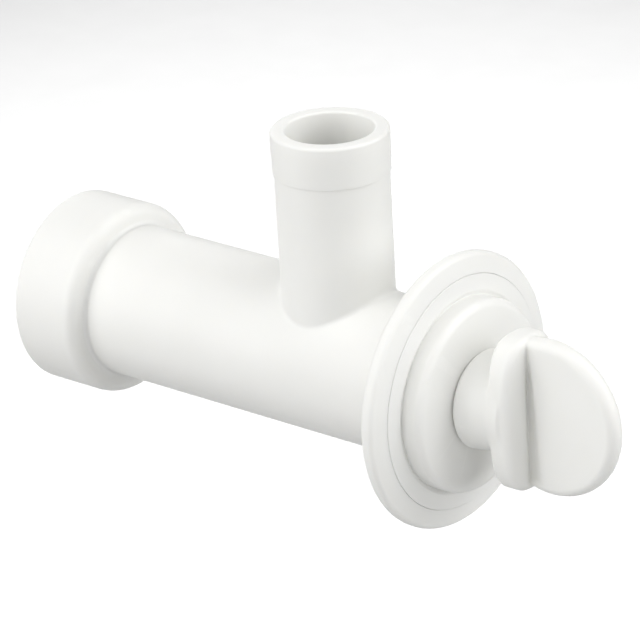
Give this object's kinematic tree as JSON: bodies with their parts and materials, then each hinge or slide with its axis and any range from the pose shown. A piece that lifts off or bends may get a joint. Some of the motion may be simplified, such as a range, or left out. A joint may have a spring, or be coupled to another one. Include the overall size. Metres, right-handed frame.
{
  "type": "thru hull fitting",
  "caption": "Thru hull tee fitting with round hull flange, hose branch, rear pipe collar and a quarter-turn knob that opens and shuts an inner rotor.",
  "frame": {"origin": "on the tube axis in the plane where the back of the flange seats on the hull", "axes": "+X along the tube axis, outboard towards the knob; +Z along the hose branch; +Y completes the right-handed frame"},
  "size_m": [0.1186, 0.0476, 0.0656],
  "materials": {
    "white_plastic": "satin moulded",
    "inner_plastic": "matte moulded",
    "seal_rubber": "matte",
    "stainless": "bright"
  },
  "bodies": {
    "housing": {"tee_body": "white_plastic", "rear_collar": "white_plastic", "hull_flange": "white_plastic", "cover": "white_plastic", "port_seat": "seal_rubber", "cover_oring": "seal_rubber", "sleeve_oring": "seal_rubber", "collar_oring": "seal_rubber", "hull_gasket": "seal_rubber", "thrust_washer": "inner_plastic"},
    "valve": {"knob": "white_plastic", "stem": "inner_plastic", "rotor": "inner_plastic", "stem_oring_outer": "seal_rubber", "stem_oring_inner": "seal_rubber", "rotor_oring_front": "seal_rubber", "rotor_oring_rear": "seal_rubber", "stop_pin": "stainless", "screw_washer": "stainless", "retaining_screw": "stainless"}
  },
  "joints": [
    {"name": "knob_turn", "type": "hinge", "parent": "housing", "child": "valve", "pos_m": [0, 0, 0], "axis": [1, 0, 0], "range_deg": [-90, 0]}
  ]
}
